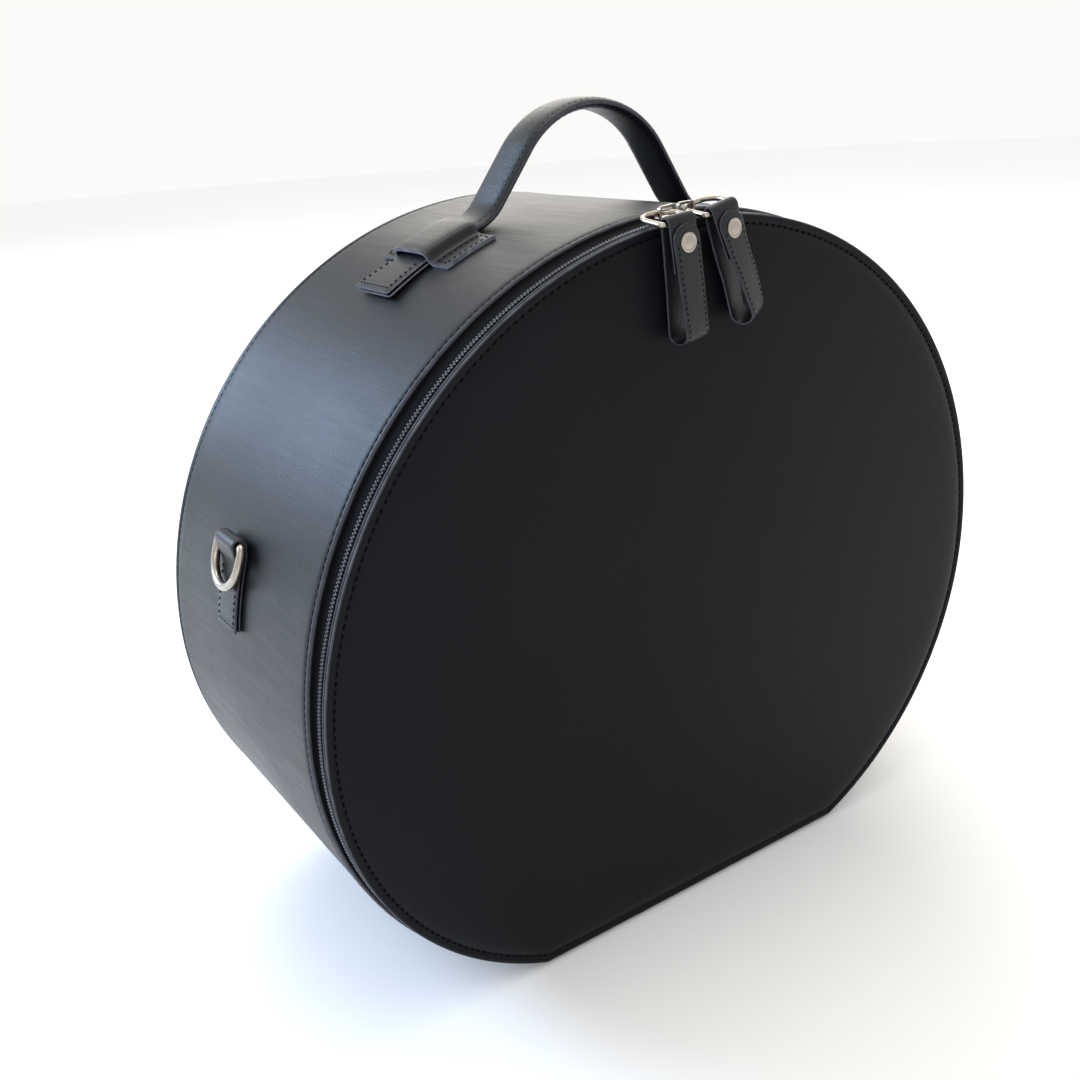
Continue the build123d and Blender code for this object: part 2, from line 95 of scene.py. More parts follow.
class Mat:
    """A small helper that adds nodes to one material."""

    def __init__(self, name, color, roughness, metallic=0.0, specular=0.5):
        self.m = bpy.data.materials.new(name)
        self.m.use_nodes = True
        self.t = self.m.node_tree
        self.b = self.t.nodes["Principled BSDF"]
        self.b.inputs["Metallic"].default_value = metallic
        self.b.inputs["Specular IOR Level"].default_value = specular
        self.b.inputs["Roughness"].default_value = roughness
        self.b.inputs["Base Color"].default_value = (*color, 1)
        self.coord = self.node("ShaderNodeTexCoord").outputs["Object"]

    def node(self, kind, **values):
        n = self.t.nodes.new(kind)
        for k, v in values.items():
            setattr(n, k, v)
        return n

    def put(self, target, value):
        if isinstance(value, bpy.types.NodeSocket):
            self.t.links.new(value, target)
        else:
            target.default_value = value

    def math(self, op, a, b=0.0):
        n = self.node("ShaderNodeMath", operation=op)
        self.put(n.inputs[0], a)
        self.put(n.inputs[1], b)
        return n.outputs[0]

    def stretched(self, scale):
        n = self.node("ShaderNodeMapping")
        self.put(n.inputs["Vector"], self.coord)
        n.inputs["Scale"].default_value = scale
        return n.outputs[0]

    def noise(self, scale, detail=3.0, rough=0.5, vector=None):
        n = self.node("ShaderNodeTexNoise")
        self.put(n.inputs["Vector"], vector or self.coord)
        n.inputs["Scale"].default_value = scale
        n.inputs["Detail"].default_value = detail
        n.inputs["Roughness"].default_value = rough
        return n.outputs["Fac"]

    def cells(self, scale, feature="F1"):
        n = self.node("ShaderNodeTexVoronoi", feature=feature)
        self.put(n.inputs["Vector"], self.coord)
        n.inputs["Scale"].default_value = scale
        return n.outputs["Distance"]

    def ramp(self, fac, low, high, a, b):
        n = self.node("ShaderNodeMapRange")
        self.put(n.inputs["Value"], fac)
        for k, v in (("From Min", low), ("From Max", high), ("To Min", a), ("To Max", b)):
            n.inputs[k].default_value = v
        return n.outputs[0]

    def mix(self, fac, a, b):
        n = self.node("ShaderNodeMix", data_type="RGBA")
        self.put(n.inputs[0], fac)
        for socket, value in ((n.inputs[6], a), (n.inputs[7], b)):
            self.put(socket, value if isinstance(value, bpy.types.NodeSocket) else (*value, 1))
        return n.outputs[2]

    def attribute(self, name):
        return self.node("ShaderNodeAttribute", attribute_name=name).outputs["Fac"]

    def color(self, socket):
        self.put(self.b.inputs["Base Color"], socket)

    def roughness(self, socket):
        self.put(self.b.inputs["Roughness"], socket)

    def bump(self, *layers):
        """Each layer is (height, distance in metres)."""
        before = None
        for height, distance in layers:
            n = self.node("ShaderNodeBump")
            n.inputs["Strength"].default_value = 1.0
            n.inputs["Distance"].default_value = distance
            self.put(n.inputs["Height"], height)
            if before:
                self.put(n.inputs["Normal"], before)
            before = n.outputs[0]
        self.put(self.b.inputs["Normal"], before)


def scaled(color, k):
    return tuple(c * k for c in color)


def leather(name, color=BLACK_LEATHER, roughness=0.42, grain=1.0, specular=0.25, wear=(0.05, 0.053, 0.07)):
    """Smooth faux leather: fine pebbles, faint brushed streaks, and edges that have gone lighter."""
    m = Mat(name, color, roughness, specular=specular)
    cloud = m.noise(9.0, 4.0, 0.6)
    fine = m.noise(650.0, 2.0)
    pebble = m.cells(1150.0)
    streak = m.noise(1.0, 3.0, 0.6, m.stretched((420.0, 24.0, 420.0)))
    tone = m.mix(m.ramp(cloud, 0.3, 0.7, 0.0, 1.0), scaled(color, 0.78), scaled(color, 1.25))
    tone = m.mix(m.ramp(pebble, 0.0, 0.6, 0.0, 0.35), tone, scaled(color, 0.55))
    worn = m.math("MULTIPLY", m.attribute("edge"), m.ramp(m.noise(160.0, 3.0), 0.3, 0.7, 0.45, 1.0))
    m.color(m.mix(worn, tone, wear))
    rough = m.math("ADD", m.ramp(cloud, 0.3, 0.7, roughness - 0.035, roughness + 0.035),
                   m.ramp(streak, 0.3, 0.7, -0.03, 0.03))
    m.roughness(rough)
    m.bump((cloud, 0.0006 * grain), (streak, 0.00003 * grain), (fine, 0.00006 * grain),
           (pebble, 0.000045 * grain))
    return m.m


def cut_edge(name, color):
    """The painted cut edge of a leather strip."""
    m = Mat(name, color, 0.45, specular=0.35)
    spots = m.noise(380.0, 4.0)
    m.color(m.mix(m.ramp(spots, 0.35, 0.65, 0.0, 1.0), scaled(color, 0.65), scaled(color, 1.35)))
    m.roughness(m.ramp(spots, 0.3, 0.7, 0.36, 0.56))
    m.bump((spots, 0.00008))
    return m.m


def thread():
    """Dark waxed sewing thread with its twist."""
    m = Mat("sewing_thread", THREAD, 0.75, specular=0.03)
    twist = m.node("ShaderNodeTexWave", bands_direction="DIAGONAL")
    m.put(twist.inputs["Vector"], m.coord)
    twist.inputs["Scale"].default_value = 900.0
    m.color(m.mix(twist.outputs["Fac"], THREAD, scaled(THREAD, 3.0)))
    m.roughness(m.ramp(m.noise(500.0), 0.3, 0.7, 0.68, 0.82))
    m.bump((twist.outputs["Fac"], 0.00004))
    return m.m


def woven(name, color, per_metre, roughness=0.8, depth=0.00009, sheen=0.25, specular=0.3):
    """Plain woven cloth from two crossing sets of yarns."""
    m = Mat(name, color, roughness, specular=specular)
    m.b.inputs["Sheen Weight"].default_value = sheen
    m.b.inputs["Sheen Roughness"].default_value = 0.5
    heights = []
    for direction in ("X", "Y", "Z"):
        w = m.node("ShaderNodeTexWave", bands_direction=direction)
        m.put(w.inputs["Vector"], m.coord)
        w.inputs["Scale"].default_value = per_metre
        w.inputs["Distortion"].default_value = 0.6
        heights.append(w.outputs["Fac"])
    weave = m.math("MULTIPLY", m.math("MAXIMUM", heights[0], heights[1]), m.math("ADD", heights[2], 0.5))
    cloud = m.noise(14.0, 4.0)
    tone = m.mix(m.ramp(cloud, 0.3, 0.7, 0.0, 1.0), scaled(color, 0.8), scaled(color, 1.2))
    m.color(m.mix(m.ramp(weave, 0.1, 1.2, 0.0, 1.0), scaled(color, 0.45), tone))
    m.roughness(m.ramp(cloud, 0.3, 0.7, roughness - 0.06, roughness + 0.06))
    m.bump((weave, depth), (m.noise(900.0), depth * 0.5))
    return m.m


def nylon():
    """Polished nylon coil."""
    color = (0.022, 0.0225, 0.027)
    m = Mat("zip_coil_nylon", color, 0.34, specular=0.4)
    spots = m.noise(700.0, 2.0)
    m.color(m.mix(spots, scaled(color, 0.7), scaled(color, 1.6)))
    m.roughness(m.ramp(spots, 0.3, 0.7, 0.28, 0.42))
    m.bump((spots, 0.00002))
    return m.m


def nickel(name="nickel_plate", color=(0.4, 0.36, 0.305), roughness=0.25):
    """Warm nickel plate with fine scratches and slight tarnish."""
    m = Mat(name, color, roughness, metallic=1.0)
    cloud = m.noise(130.0, 5.0)
    scratch = m.noise(1.0, 2.0, 0.5, m.stretched((90.0, 2600.0, 1800.0)))
    tarnish = m.ramp(cloud, 0.45, 0.75, 0.0, 0.5)
    m.color(m.mix(tarnish, color, scaled(color, 0.62)))
    m.roughness(m.math("ADD", m.ramp(cloud, 0.3, 0.7, roughness - 0.04, roughness + 0.09),
                       m.ramp(scratch, 0.55, 0.7, 0.0, 0.1)))
    m.bump((scratch, 0.000006), (cloud, 0.00002))
    return m.m


def board():
    """Grey-brown millboard, hidden inside the walls."""
    color = (0.3, 0.25, 0.19)
    m = Mat("millboard", color, 0.85, specular=0.2)
    fibre = m.noise(1.0, 5.0, 0.7, m.stretched((300.0, 40.0, 300.0)))
    m.color(m.mix(fibre, scaled(color, 0.7), scaled(color, 1.25)))
    m.roughness(m.ramp(fibre, 0.3, 0.7, 0.78, 0.92))
    m.bump((fibre, 0.0001))
    return m.m


SKIN = leather("drum_leather")
# The lid's leather is the drum's made darker: painted shade of the lid's face. Its lighter, bluer edge
# colour is edge wear together with a painted highlight along the lid's edge.
LID_SKIN_PAINTED_SHADE = leather("lid_leather_painted_shade", color=scaled(BLACK_LEATHER, 0.85), roughness=0.44, specular=0.085,
                   wear=(0.12, 0.125, 0.15))
STRAP_SKIN = leather("strap_leather", color=scaled(BLACK_LEATHER, 1.15), roughness=0.4, grain=1.3,
                     specular=0.3)
EDGE = cut_edge("painted_cut_edge", (0.035, 0.037, 0.052))
# A lighter, bluer copy of the painted cut edge, used on the tails' tips and the keepers' edges: painted
# highlight of the window light on those edges.
EDGE_PAINTED_HIGHLIGHT = cut_edge("cut_edge_painted_highlight", (0.13, 0.138, 0.175))
THREADS = thread()
# Black twill tape, its colour darkened further as painted shade of the recess between the drum's rim and the
# coil.
TAPE_WITH_PAINTED_SHADE = woven("zip_tape_twill_painted_shade", (0.0022, 0.0022, 0.003), 260.0, sheen=0.0, specular=0.06)
LINING = woven("lining_cloth", (0.03, 0.028, 0.03), 170.0, depth=0.00012)
COIL = nylon()
NICKEL = nickel()
BOARD = board()


# ---- mesh helpers ----

def mesh_object(name, verts, faces, materials, indices=None, sharp=40.0, attributes=None):
    """A smooth-shaded mesh object with outward normals."""
    mesh = bpy.data.meshes.new(name)
    mesh.from_pydata([tuple(v) for v in verts], [], faces)
    for m in materials:
        mesh.materials.append(m)
    if indices is not None:
        mesh.polygons.foreach_set("material_index", np.asarray(indices, dtype=np.int32))
    edge = mesh.attributes.new("edge", "FLOAT", "POINT")
    if attributes is not None:
        edge.data.foreach_set("value", np.asarray(attributes, dtype=np.float32))
    bm = bmesh.new()
    bm.from_mesh(mesh)
    bmesh.ops.recalc_face_normals(bm, faces=bm.faces)
    bm.to_mesh(mesh)
    bm.free()
    mesh.polygons.foreach_set("use_smooth", [True] * len(mesh.polygons))
    mesh.set_sharp_from_angle(angle=radians(sharp))
    obj = bpy.data.objects.new(name, mesh)
    bpy.context.scene.collection.objects.link(obj)
    return obj


def finish_piece(obj, body, slot, *nodes):
    """Rides on a body and stands for CAD nodes. slot is not used."""
    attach(obj, body)
    if nodes:
        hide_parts(*nodes)
    return obj


def bend_line(inset):
    """The drum's outline at an inset: left corner, over the top, right corner and back along the chord."""
    r_top, r_low = R_TOP - inset, R_LOW - inset
    turn = asin((Z_ARC - inset) / r_low)
    up = np.linspace(turn, 0, LOW_N, endpoint=False)
    over = np.linspace(-pi / 2, pi / 2, TOP_N, endpoint=False)
    down = np.linspace(0, turn, LOW_N, endpoint=False)
    corner = LOW_SHIFT + r_low * cos(turn)
    chord = np.linspace(corner, -corner, CHORD_N, endpoint=False)
    x = np.concatenate([-LOW_SHIFT - r_low * np.cos(up), r_top * np.sin(over),
                        LOW_SHIFT + r_low * np.cos(down), chord])
    z = np.concatenate([Z_ARC - r_low * np.sin(up), Z_ARC + r_top * np.cos(over),
                        Z_ARC - r_low * np.sin(down), np.full(CHORD_N, inset)])
    return np.stack([x, z], 1)


def lid_frame(points):
    """Points of the upright lid, leaned forward about the hinge line."""
    p = np.atleast_2d(np.asarray(points, float))
    y, z = p[:, 1], p[:, 2] - HINGE.z
    return np.stack([p[:, 0], HINGE.y + y * cos(LID_TILT) - z * sin(LID_TILT),
                     HINGE.z + y * sin(LID_TILT) + z * cos(LID_TILT)], 1)


def drum_frame(points):
    return np.asarray(points, float)


def arc_line(inset):
    """The outline without its chord."""
    return bend_line(inset)[:ARC_STEPS + 1]


def at_depth(line, y):
    """Outline points (x, z) as points in space. y is a number or one value for each point."""
    return np.stack([line[:, 0], np.broadcast_to(y, len(line)), line[:, 1]], 1)


def lengths_along(points):
    """Distance of each point of a line from its start."""
    steps = np.linalg.norm(np.diff(points, axis=0), axis=1)
    return np.concatenate([[0], np.cumsum(steps)])


def along_line(at, s, points):
    """The point at a distance along a line whose points lie at the distances s."""
    return np.array([np.interp(at, s, points[:, d]) for d in range(3)])


def joined_rings(rows, around, base=0):
    """Faces between rings of points, each ring closed on itself."""
    return [(q + i, q + (i + 1) % around, q + around + (i + 1) % around, q + around + i)
            for q in range(base, base + (rows - 1) * around, around) for i in range(around)]


def capped_tube(rows, around, base=0):
    """The same with both ends closed."""
    last = base + (rows - 1) * around
    return joined_rings(rows, around, base) + [tuple(reversed(range(base, base + around))),
                                               tuple(range(last, last + around))]


def worn_at(count, marked):
    """Edge wear for each of count profile points, from the few that are worn."""
    return [marked.get(k, 0.0) for k in range(count)]


def span_indices(span):
    total = ARC_STEPS + CHORD_N
    if span == "all":
        return list(range(total)), True
    if span == "arcs":
        return list(range(ARC_STEPS + 1)), False
    return list(range(ARC_STEPS, total)) + [0], False


def rings_of(profile, place, span):
    """One ring of points for each (inset, y) of a profile."""
    picks, wraps = span_indices(span)
    rings = []
    for inset, y in profile:
        line = bend_line(inset)[picks]
        rings.append(place(at_depth(line, y(line) if callable(y) else y)))
    return np.array(rings), wraps


def sweep_outline(name, profile, place=drum_frame, span="all", materials=(SKIN,), worn=None):
    """A closed profile swept round the outline. worn marks each profile point's edge wear."""
    rings, wraps = rings_of(profile, place, span)
    rows, n = rings.shape[:2]
    faces = []
    for r in range(rows):
        s = (r + 1) % rows
        for i in range(n if wraps else n - 1):
            j = (i + 1) % n
            faces.append((r * n + i, r * n + j, s * n + j, s * n + i))
    if not wraps:
        faces.append(tuple(r * n for r in range(rows)))
        faces.append(tuple(r * n + n - 1 for r in reversed(range(rows))))
    wear = None if worn is None else np.repeat(np.asarray(worn, float), n)
    return mesh_object(name, rings.reshape(-1, 3), faces, materials, attributes=wear)


def disc_from(name, profile, place, steps, material, domed=lambda s: 0.0, worn=None):
    """A panel: rings at its edge, closed to a middle point in front and by one flat face behind."""
    rings, _ = rings_of(profile, place, "all")
    n = rings.shape[1]
    inner_inset, inner_y = profile[-1]
    middle = np.array([0.0, Z_ARC])
    line = bend_line(inner_inset)
    extra = []
    for k in range(1, steps):
        s = 1 - k / steps
        ring = middle + (line - middle) * s
        extra.append(place(at_depth(ring, inner_y + domed(s))))
    rows = list(rings) + extra
    verts = np.concatenate(rows)
    faces = joined_rings(len(rows), n)
    tip = len(verts)
    verts = np.vstack([verts, place([[middle[0], inner_y + domed(0.0), middle[1]]])])
    last = (len(rows) - 1) * n
    faces += [(last + i, last + (i + 1) % n, tip) for i in range(n)]
    faces.append(tuple(reversed(range(n))))
    wear = np.zeros(len(verts))
    if worn is not None:
        wear[: len(profile) * n] = np.repeat(np.asarray(worn, float), n)
    return mesh_object(name, verts, faces, [material], attributes=wear)


def section(half_w, half_t, crown=0.0, thin=0.0):
    """A strip's cross-section: flat faces, rounded sides, thinner at the stitched edges."""
    around = 28
    pts, side = [], []
    for k in range(around):
        a = 2 * pi * k / around
        c, s = cos(a), sin(a)
        u = half_w * np.sign(c) * abs(c) ** 0.35
        v = half_t * np.sign(s) * abs(s) ** 0.55
        share = abs(u) / half_w
        swell = 1 + crown * (1 - share ** 2) - thin * max(0.0, (share - 0.62) / 0.38) ** 1.5
        pts.append((u, v * swell))
        side.append(abs(c) > 0.93 and share > 0.97)
    return pts, side


def ribbon(name, centres, across, out, half_w, half_t, materials, crown=0.0, thin=0.0, wear=0.0):
    """A leather strip that follows centres; across and out are unit vectors at each station.
    half_w and half_t are numbers or one value for each station. The second material is the cut edge's."""
    n = len(centres)
    hw = np.broadcast_to(np.asarray(half_w, float), n)
    ht = np.broadcast_to(np.asarray(half_t, float), n)
    verts, flags = [], None
    for k in range(n):
        pts, flags = section(hw[k], ht[k], crown, thin)
        verts += [centres[k] + across[k] * u + out[k] * v for u, v in pts]
    m = len(flags)
    indices = [int(flags[i] and flags[(i + 1) % m]) for i in range(m)] * (n - 1) + [1, 1]
    worn = [wear if f else 0.0 for _ in range(n) for f in flags]
    return mesh_object(name, verts, capped_tube(n, m), materials, indices, sharp=50.0, attributes=worn)


def tube(name, line, radius, material, closed=True, around=18):
    """A round wire along a line of points."""
    pts = [Vector(p) for p in line]
    n = len(pts)
    tangents = []
    for k in range(n):
        a = pts[(k - 1) % n] if closed or k else pts[0]
        b = pts[(k + 1) % n] if closed or k < n - 1 else pts[-1]
        tangents.append((b - a).normalized())
    normal = tangents[0].orthogonal().normalized()
    verts = []
    for k in range(n):
        normal = (normal - tangents[k] * normal.dot(tangents[k])).normalized()
        side = tangents[k].cross(normal)
        for i in range(around):
            a = 2 * pi * i / around
            verts.append(pts[k] + normal * (radius * cos(a)) + side * (radius * sin(a)))
    shift = 0
    if closed:
        first = Vector(verts[0]) - pts[0]
        last = (normal - tangents[0] * normal.dot(tangents[0])).normalized()
        side = tangents[0].cross(last)
        turn = np.arctan2(first.dot(side), first.dot(last))
        shift = int(round(turn / (2 * pi) * around)) % around
    faces = []
    for k in range(n if closed else n - 1):
        nxt = (k + 1) % n
        for i in range(around):
            j = (i + 1) % around
            add = shift if closed and nxt == 0 else 0
            faces.append((k * around + i, k * around + j, nxt * around + (j - add) % around,
                          nxt * around + (i - add) % around))
    if not closed:
        faces.append(tuple(reversed(range(around))))
        faces.append(tuple((n - 1) * around + i for i in range(around)))
    return mesh_object(name, verts, faces, [material])


def lathe(name, profile, place, material):
    """A round piece from (radius, height) points, about its own +Z."""
    around = 48
    verts = []
    for r, h in profile:
        for i in range(around):
            a = 2 * pi * i / around
            verts.append(place @ Vector((r * cos(a), r * sin(a), h)))
    return mesh_object(name, verts, capped_tube(len(profile), around), [material])


def stitches(name, line, normals, length=0.0027, radius=0.00036, pitch=0.004, sink=0.55, closed=False):
    """A row of sewn stitches along a line: each a bead of thread whose ends dive into the leather."""
    p = np.asarray(line, float)
    nrm = np.asarray(normals, float)
    if closed:
        p, nrm = np.vstack([p, p[:1]]), np.vstack([nrm, nrm[:1]])
    s = lengths_along(p)
    count = max(1, int(s[-1] // pitch))
    gap = s[-1] / count
    verts, faces = [], []
    stations, around = 7, 8
    for k in range(count):
        mid = (k + 0.5) * gap
        base = len(verts)
        for a in range(stations):
            t = -1 + 2 * a / (stations - 1)
            at = mid + t * length / 2
            c = along_line(at, s, p)
            along = along_line(at + 1e-4, s, p) - along_line(at - 1e-4, s, p)
            along /= max(np.linalg.norm(along), 1e-9)
            n = along_line(at, s, nrm)
            n /= np.linalg.norm(n)
            side = np.cross(along, n)
            fat = radius * (1 - 0.45 * t ** 4)
            lift = radius * (sink - 1.9 * t ** 4)
            for i in range(around):
                b = 2 * pi * i / around
                verts.append(c + n * (lift + fat * sin(b)) + side * fat * cos(b) * 1.15)
        faces += capped_tube(stations, around, base)
    return mesh_object(name, verts, faces, [THREADS])


# ---- drum ----

def outline_normals(inset):
    """Outward unit vectors of the outline's arcs."""
    d = arc_line(inset) - arc_line(inset + 0.001)
    return at_depth(d / np.linalg.norm(d, axis=1)[:, None], 0.0)


def drum_profile():
    """The skin's closed profile from the inside of the rim, round it, along the side and in at the back."""
    rim = [(0.0056, 0.0090), (0.0057, 0.0020), (0.0050, 0.0011), (0.0024, 0.0008), (0.0018, 0.0003),
           (0.0013, 0.0000), (0.0007, 0.0000), (0.0002, 0.0004), (-0.0001, 0.0010), (-0.0001, 0.0017),
           (0.0002, 0.0024), (0.0004, 0.0029), (0.0002, 0.0034), (-0.0001, 0.0042), (-0.0002, 0.0060),
           (0.0, 0.0120), (0.0, 0.0400)]
    rear = [(0.0, 0.0400), (0.0, 0.0110), (-0.0002, 0.0075), (0.0000, 0.0062), (0.0004, 0.0054),
            (0.0002, 0.0046), (-0.0002, 0.0036), (-0.0001, 0.0022), (0.0005, 0.0012), (0.0011, 0.0012),
            (0.0010, 0.0040)]
    inner = [(0.0010, Y_MID), (0.0010, Y_RIM + 0.0130), (0.0044, Y_RIM + 0.0090)]
    return ([(inset, Y_RIM + y) for inset, y in rim] + [(0.0, Y_MID)]
            + [(inset, Y_BACK - y) for inset, y in rear] + inner)


def make_drum():
    """The skin round the side, under the base and on the back, with its rows of stitches."""
    profile = drum_profile()
    worn = worn_at(len(profile), {5: 0.3, 6: 0.8, 7: 1.0, 8: 0.7, 9: 0.25, 25: 0.3, 26: 0.4})
    side = sweep_outline("drum_side_skin", profile, span="arcs", worn=worn)
    finish_piece(side, "drum", "leather", "side_cover", "rim_binding")
    base = sweep_outline("drum_base_skin", profile, span="chord", worn=worn)
    finish_piece(base, "drum", "leather", "base_cover")

    for name, inset, y in (("rim_stitches", 0.0004, Y_RIM + 0.0029),
                           ("back_edge_stitches", 0.0004, Y_BACK - 0.0054)):
        row = stitches(name, at_depth(arc_line(inset), y), outline_normals(inset), radius=0.0003,
                       pitch=0.0037)
        finish_piece(row, "drum", "leather")

    back_profile = [
        (0.0130, Y_BACK - 0.0010), (0.0016, Y_BACK - 0.0010), (0.0008, Y_BACK - 0.0007),
        (0.0006, Y_BACK - 0.0001), (0.0011, Y_BACK + 0.0003), (0.0020, Y_BACK + 0.0004),
        (0.0046, Y_BACK + 0.0003), (0.0058, Y_BACK - 0.0002), (0.0070, Y_BACK + 0.0002),
        (0.0100, Y_BACK + 0.0004), (0.0160, Y_BACK + 0.0003), (0.0260, Y_BACK + 0.0002),
    ]
    back = disc_from("back_panel_skin", back_profile, drum_frame, 16, SKIN,
                     worn=[0, 0, 0.3, 0.8, 0.5, 0.1, 0, 0, 0, 0, 0, 0])
    finish_piece(back, "drum", "leather", "back_cover")
    line = at_depth(bend_line(0.0058), Y_BACK - 0.0002)
    row = stitches("back_panel_stitches", line, np.tile(ACROSS, (len(line), 1)), closed=True)
    finish_piece(row, "drum", "leather")


def make_linings():
    """Cloth glued to the inside of the drum, to its back and to the lid."""
    inside = 0.0046
    y0, y1 = Y_RIM + 0.0085, Y_BACK - 0.0042
    steps = np.linspace(y0, y1, 22)
    ripple = [0.00025 * sin(k * 2.1) + 0.00015 * sin(k * 5.3) for k in range(len(steps))]
    front = [(inside + 0.0006 + r, y) for r, y in zip(ripple, steps)]
    rear = [(inside + r, y) for r, y in zip(ripple[::-1], steps[::-1])]
    side = sweep_outline("side_lining_cloth", front + rear, materials=(LINING,))
    finish_piece(side, "drum", "lining", "side_lining")

    y = Y_BACK - 0.0040
    profile = [(inside + 0.0001, y), (inside + 0.0001, y - 0.0005), (inside + 0.0010, y - 0.0006),
               (0.0200, y - 0.0006)]
    back = disc_from("back_lining_cloth", profile, drum_frame, 14, LINING)
    finish_piece(back, "drum", "lining", "back_lining")

    edge = LID_INSET + 0.0085
    profile = [(edge, -0.0004), (edge, 0.0002), (edge + 0.0012, 0.0003), (0.0300, 0.0003)]
    lid = disc_from("lid_lining_cloth", profile, lid_frame, 14, LINING)
    finish_piece(lid, "lid", "lining", "lid_lining")


# ---- lid ----

LID_STITCH = LID_INSET + 0.0042


def make_lid():
    """The lid's padded face, the roll round its edge and its row of stitches."""
    edge = [(0.0090, 0.0001), (0.0016, 0.0001), (0.0012, -0.0010), (0.0012, -0.0018), (0.0005, -0.0021),
            (0.0001, -0.0025), (0.0000, -0.0031), (0.0003, -0.0036), (0.0008, -0.0039), (0.0016, -0.0041),
            (0.0026, -0.0040), (0.0034, -0.0037), (0.0039, -0.0034), (0.0042, -0.0033), (0.0046, -0.0034),
            (0.0053, -0.0039), (0.0066, -0.0046), (0.0086, -0.0051), (0.0120, -0.0055), (0.0170, -0.0058),
            (0.0230, -0.0060), (0.0320, -0.0061)]
    profile = [(LID_INSET + inset, y) for inset, y in edge]
    # These edge marks take the lid leather's lighter edge colour: wear and a painted highlight along the
    # edge roll.
    worn = worn_at(len(profile), {4: 0.5, 5: 1.0, 6: 1.0, 7: 0.5})
    face = disc_from("lid_face_skin", profile, lid_frame, 22, LID_SKIN_PAINTED_SHADE,
                     domed=lambda s: -0.0004 * (1 - s ** 2), worn=worn)
    finish_piece(face, "lid", "leather", "lid_cover", "lid_padding")

    roll = []
    for k in range(12):
        a = 2 * pi * k / 12
        roll.append((LID_INSET + 0.0011 - 0.0011 * cos(a), -0.0010 - 0.0010 * sin(a)))
    # The roll's top takes the same edge colour: wear and a painted highlight.
    worn = worn_at(12, {0: 0.5, 1: 0.5, 11: 0.5})
    band = sweep_outline("lid_edge_roll", roll, place=lid_frame, materials=(LID_SKIN_PAINTED_SHADE,), worn=worn)
    finish_piece(band, "lid", "leather", "lid_edge_band")

    points = lid_frame(at_depth(arc_line(LID_STITCH), -0.0033))
    out = lid_frame([[0, -1, 0]]) - lid_frame([[0, 0, 0]])
    row = stitches("lid_stitches", points, np.tile(out[0], (len(points), 1)))
    finish_piece(row, "lid", "leather")


# ---- zip ----

TOOTH_PITCH = 0.0017


def zip_line(inset, y):
    """Points of the zip round the arcs, from its low left end to its low right end."""
    return lid_frame(at_depth(arc_line(inset)[arc_line(ZIP_INSET)[:, 1] > ZIP_LOW_Z], y))


def coil_row(name, y_root, y_tip, offset):
    """A row of coil turns: each a small arched loop that reaches over the zip's middle line."""
    p = zip_line(ZIP_INSET - 0.0002, 0.0)
    top = zip_line(ZIP_INSET - 0.0012, 0.0)
    out = (lid_frame([[0, 1, 0]]) - lid_frame([[0, 0, 0]]))[0]
    s = lengths_along(p)
    count = int(s[-1] / TOOTH_PITCH) - 1
    verts, faces = [], []
    stations, around = 7, 8
    for k in range(count):
        at = (k + 0.5 + offset) * TOOTH_PITCH
        c = along_line(at, s, p)
        along = along_line(at + 1e-4, s, p) - c
        along /= np.linalg.norm(along)
        up = along_line(at, s, top) - c
        up /= np.linalg.norm(up)
        base = len(verts)
        for a in range(stations):
            f = a / (stations - 1)
            y = y_root + (y_tip - y_root) * f
            lift = 0.00055 * sin(pi * min(1.0, f * 0.85 + 0.15)) ** 0.6 if f < 1 else 0.0001
            fat = 0.00036 * (1.0 + 0.45 * f ** 3) * (0.75 if a in (0, stations - 1) else 1.0)
            for i in range(around):
                b = 2 * pi * i / around
                verts.append(c + out * y + up * (lift + 0.0005 * sin(b)) + along * fat * cos(b) * 1.5)
        faces += capped_tube(stations, around, base)
    return mesh_object(name, verts, faces, [COIL])


